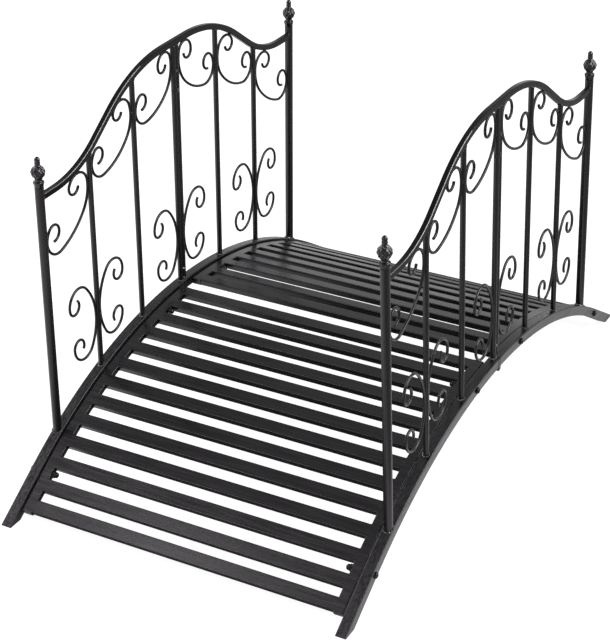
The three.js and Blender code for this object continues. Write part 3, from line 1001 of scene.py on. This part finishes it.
def onto_bridge(side, far, leaning=False):
    """Turns drawn points (along, up, across) into the bridge's own axes. Side 0 is the middle."""

    def change(points):
        x, y, z = points.T
        if far:
            x, z = -x, -z
        if leaning:
            angle = -side * RAILING_LEAN
            up = y - LEAN_PIVOT_Z
            y = up * math.cos(angle) - z * math.sin(angle) + LEAN_PIVOT_Z
            z = up * math.sin(angle) + z * math.cos(angle)
        return np.column_stack((z + side * STRINGER_X, x, y))

    return change


def paint_rail_highlight(mesh):
    """Paints a highlight along the handrail's upper +x corner, ring by ring, with a lighter grey finish."""
    mesh.materials.append(RAIL_HIGHLIGHT_FINISH)
    around = len(RAIL_SECTION)
    highlight_rings = int(np.searchsorted(RAIL_LINE.stations[:, 0], -HIGHLIGHT_RAIL_END))
    for face in mesh.polygons[:around * highlight_rings]:
        if face.index % around in HIGHLIGHT_RAIL_FACES:
            face.material_index = 1


def build(name, shells, material, slot=None, stands_for=(), rail_highlight=False):
    mesh = bpy.data.meshes.new(name)
    mesh.from_pydata(np.vstack(shells.points).tolist(), [], shells.faces)
    mesh.materials.append(material)
    if rail_highlight:
        paint_rail_highlight(mesh)
    mesh.shade_smooth()
    mesh.set_sharp_from_angle(angle=math.radians(SMOOTH_ANGLE))
    mesh.validate()
    piece = bpy.data.objects.new(name, mesh)
    bpy.context.scene.collection.objects.link(piece)
    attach(piece, "root")
    if stands_for:
        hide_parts(*stands_for)


HALVES = ((False, "near"), (True, "far"))
RAILING_SHAPES = {  # shape, finish and the last word of the piece's name, by node
    "end_post": (post(), "railing_black", "tube"),
    "post_finial": (finial(), "casting_black", "casting"),
    "handrail": (handrail(), "railing_black", "bar"),
    "outer_baluster_with_scrolls": (outer_baluster(), "railing_black", "welded"),
    "inner_baluster": (baluster(INNER_BALUSTER_Y), "railing_black", "tube"),
    "centre_baluster_with_scroll": (centre_baluster(), "railing_black", "welded"),
    "outer_upper_scroll": (upper_scroll("outer"), "scroll_black", "rod"),
    "middle_upper_scroll": (upper_scroll("middle"), "scroll_black", "rod"),
    "inner_upper_scroll": (upper_scroll("inner"), "scroll_black", "rod"),
}
weld_shape = base_welds()
stringer_shape = stringer().add(*flange())

for side, side_name in ((-1, "left"), (1, "right")):
    for far, end in HALVES:
        label = f"{side_name}_{end}"
        build(
            f"{label}_stringer_tube", stringer_shape.moved(onto_bridge(side, far)),
            FINISHES["frame_black"], "frame_black", [f"{label}_stringer"],
        )
        for name, (shells, slot, form) in RAILING_SHAPES.items():
            # the near handrails get a painted highlight along their upper +x corner
            is_rail = name == "handrail"
            build(
                f"{label}_{name}_{form}", shells.moved(onto_bridge(side, far, leaning=True)),
                HANDRAIL_FINISH if is_rail else FINISHES[slot], slot, [f"{label}_{name}"],
                rail_highlight=is_rail and not far,
            )
        build(f"{label}_base_welds", weld_shape.moved(onto_bridge(side, far, leaning=True)), WELD_FINISH)
    on_stringers, on_railing = onto_bridge(side, False), onto_bridge(side, False, leaning=True)
    build(f"{side_name}_stringer_bolts", stringer_fasteners(side).moved(on_stringers), BOLT_STEEL)
    build(f"{side_name}_centre_pair_tacks", pair_welds().moved(on_railing), WELD_FINISH)
    build(f"{side_name}_centre_pair_bolts", pair_fasteners().moved(on_railing), BOLT_STEEL)

for far, end in HALVES:
    panel = deck_panel(FAR_SLAT_SHIFT if far else 0.0)
    build(
        f"{end}_deck_slats", panel.moved(onto_bridge(0, far)),
        FINISHES["deck_black"], "deck_black", [f"{end}_deck_panel"],
    )

# ---------------------------------------------------------------- floor and world

FLOOR_HALF = 6.0
FLOOR_DROP = 0.4 * MM
FLOOR_GREY = 0.36
FLOOR_GLOW = 0.93  # seen by the camera, on top of the light that the floor reflects
GLOW_REACH = 2.0
# painted pools of light, and a painted shadow under the bridge, seen only in reflections: how much of that
# glow a reflection sees, as (coordinate, share) across the bridge and along it
PAINTED_POOL_AND_SHADE_ASIDE = (
    (-GLOW_REACH, 1.0), (-0.6, 1.2), (-0.37, 1.0), (-0.30, 0.0), (0.30, 0.0), (0.36, 1.15), (0.53, 1.15),
    (0.72, 0.15), (GLOW_REACH, 0.3),
)
PAINTED_POOL_AND_SHADE_ALONG = ((-1.6, 0.2), (-0.6, 1.0), (0.1, 0.95), (0.7, 0.45), (1.6, 0.4))
# and a painted pool of light in front of the near feet
FRONT_PAINTED_POOL_ASIDE = ((-GLOW_REACH, 1.0), (-0.05, 1.0), (0.3, 0.5), (0.7, 0.15), (GLOW_REACH, 0.1))
FRONT_PAINTED_POOL_ALONG = ((-GLOW_REACH, 1.0), (-0.85, 1.0), (-0.67, 0.0), (GLOW_REACH, 0.0))

WORLD_FILL = 0.4
# what a reflection sees of the world: sine of the elevation, grey
SKY_STEPS = ((0.0, 1.0), (0.12, 0.95), (0.35, 0.48), (0.6, 0.41), (1.0, 0.41))


def seen_by(tree, *kinds):
    """1 for these kinds of ray, and 0 for all others, such as diffuse light and shadows."""
    rays = node(tree, "ShaderNodeLightPath")
    seen = rays.outputs[kinds[0]]
    for kind in kinds[1:]:
        seen = combined(tree, "MAXIMUM", seen, rays.outputs[kind])
    return seen


def graded(tree, value, steps):
    """A level that follows a coordinate through steps of (coordinate, level)."""
    low, high = -GLOW_REACH, GLOW_REACH
    share = remapped(tree, value, (low, high))
    return ramped(tree, share, [((at - low) / (high - low), grey(level)) for at, level in steps])


def studio_floor():
    """Pale floor that catches the shadow. It glows white to the camera; to reflections it shows painted pools
    of light beside and in front of the bridge, and a painted shadow under it.
    """
    mesh = bpy.data.meshes.new("studio_floor")
    corners = ((-1, -1), (1, -1), (1, 1), (-1, 1))
    mesh.from_pydata([(x * FLOOR_HALF, y * FLOOR_HALF, -FLOOR_DROP) for x, y in corners], [], [(0, 1, 2, 3)])
    floor = bpy.data.objects.new("studio_floor", mesh)
    bpy.context.scene.collection.objects.link(floor)
    paper = bpy.data.materials.new("studio_paper")
    tree, surface = fresh_tree(paper, "ShaderNodeOutputMaterial")
    axes = node(tree, "ShaderNodeSeparateXYZ")
    tree.links.new(coordinate(tree, "Object"), axes.inputs["Vector"])
    across, lengthways = axes.outputs["X"], axes.outputs["Y"]
    # painted pools of light, with a painted shadow under the bridge, that only reflections see
    painted_pools_and_shade = combined(tree, "MAXIMUM", *[
        combined(tree, "MULTIPLY", graded(tree, across, aside), graded(tree, lengthways, along))
        for aside, along in ((PAINTED_POOL_AND_SHADE_ASIDE, PAINTED_POOL_AND_SHADE_ALONG), (FRONT_PAINTED_POOL_ASIDE, FRONT_PAINTED_POOL_ALONG))
    ])
    mirrored = combined(tree, "MULTIPLY", seen_by(tree, "Is Glossy Ray"), painted_pools_and_shade)
    shown = combined(tree, "MAXIMUM", seen_by(tree, "Is Camera Ray", "Is Transmission Ray"), mirrored)
    level = node(tree, "ShaderNodeMath", operation="MULTIPLY")
    level.inputs[1].default_value = FLOOR_GLOW
    glow = node(tree, "ShaderNodeEmission")
    matte = node(tree, "ShaderNodeBsdfDiffuse")
    matte.inputs["Color"].default_value = (*grey(FLOOR_GREY), 1)
    both = node(tree, "ShaderNodeAddShader")
    tree.links.new(shown, level.inputs[0])
    tree.links.new(level.outputs[0], glow.inputs["Strength"])
    tree.links.new(glow.outputs[0], both.inputs[0])
    tree.links.new(matte.outputs[0], both.inputs[1])
    tree.links.new(both.outputs[0], surface)
    mesh.materials.append(paper)


def background(tree, strength=1.0):
    made = node(tree, "ShaderNodeBackground")
    made.inputs["Color"].default_value = (*grey(1), 1)
    made.inputs["Strength"].default_value = strength
    return made


def chosen(tree, factor, off, on):
    """One background where the factor is 0, and another where it is 1."""
    made = node(tree, "ShaderNodeMixShader")
    tree.links.new(factor, made.inputs["Fac"])
    tree.links.new(off.outputs[0], made.inputs[1])
    tree.links.new(on.outputs[0], made.inputs[2])
    return made


def studio_world():
    """White behind the object. In reflections it darkens overhead, as a studio does above its pale sweep."""
    world = bpy.data.worlds.new("studio")
    bpy.context.scene.world = world
    tree, surface = fresh_tree(world, "ShaderNodeOutputWorld")
    axes = node(tree, "ShaderNodeSeparateXYZ")
    tree.links.new(coordinate(tree, "Generated"), axes.inputs["Vector"])
    sky = ramped(tree, axes.outputs["Z"], [(height, grey(level)) for height, level in SKY_STEPS])
    mirrored = background(tree)
    tree.links.new(sky, mirrored.inputs["Color"])
    straight_on = seen_by(tree, "Is Camera Ray", "Is Transmission Ray")
    shown = chosen(tree, straight_on, mirrored, background(tree))
    seen = seen_by(tree, "Is Camera Ray", "Is Glossy Ray", "Is Transmission Ray")
    lit = chosen(tree, seen, background(tree, WORLD_FILL), shown)
    tree.links.new(lit.outputs[0], surface)


studio_floor()
studio_world()

# ---------------------------------------------------------------- lamps and camera

# place, target, width and height, watts, and whether it shows in reflections and lights the coats themselves
LAMPS = {
    "back_key": ((0.6, 1.9, 2.3), (0, 0.2, 0.1), (2.0, 1.5), 28, False, True),
    "foot_softbox": ((-1.3, -1.74, 2.5), (0, -0.5, 0.1), (0.85, 0.6), 10.5, True, True),
    "left_softbox": ((-2.6, -0.4, 1.6), (-0.8, -0.4, 0.0), (1.6, 1.2), 26, True, True),
    "right_fill": ((2.4, 0.1, 1.9), (0.3, -0.2, 0.6), (1.2, 0.8), 12, False, True),
    "right_strip": ((2.3, 0.4, 2.0), (0.1, -0.2, 0.6), (2.6, 1.6), 110, True, False),
}
CAMERA_PLACE = (1.4642, -2.7351, 1.9379)
CAMERA_AZIMUTH = math.radians(29.1097)
CAMERA_ELEVATION = math.radians(29.1641)
CAMERA_ROLL = math.radians(-0.9945)
CAMERA_LENS = 104.55  # mm, on a sensor of 36 mm
CAMERA_SENSOR = 36
CAMERA_FAR = 50


def area_lamp(name, place, target, size, power, glossy, diffuse):
    lamp = bpy.data.lights.new(name, "AREA")
    lamp.shape = "RECTANGLE"
    lamp.size, lamp.size_y = size
    lamp.energy = power
    holder = bpy.data.objects.new(name, lamp)
    holder.location = place
    holder.rotation_mode = "QUATERNION"
    holder.rotation_quaternion = (Vector(target) - Vector(place)).to_track_quat("-Z", "Y")
    holder.visible_glossy = glossy
    holder.visible_diffuse = diffuse
    bpy.context.scene.collection.objects.link(holder)


def photo_camera():
    """The camera of the photo: azimuth 0 looks along +Y, and the roll tilts the picture."""
    level = math.cos(CAMERA_ELEVATION)
    back = Vector((
        math.sin(CAMERA_AZIMUTH) * level, -math.cos(CAMERA_AZIMUTH) * level, math.sin(CAMERA_ELEVATION),
    ))
    level_right = Vector((math.cos(CAMERA_AZIMUTH), math.sin(CAMERA_AZIMUTH), 0))
    level_up = back.cross(level_right)
    right = level_right * math.cos(CAMERA_ROLL) + level_up * math.sin(CAMERA_ROLL)
    up = back.cross(right)
    data = bpy.data.cameras.new("camera")
    data.lens = CAMERA_LENS
    data.sensor_width = CAMERA_SENSOR
    data.clip_end = CAMERA_FAR
    camera = bpy.data.objects.new("camera", data)
    turn = Matrix((right, up, back)).transposed()
    camera.matrix_world = Matrix.Translation(CAMERA_PLACE) @ turn.to_4x4()
    bpy.context.scene.collection.objects.link(camera)
    return camera


for name, lamp in LAMPS.items():
    area_lamp(name, *lamp)
bpy.context.scene.camera = photo_camera()
bpy.context.scene.view_settings.view_transform = "Standard"
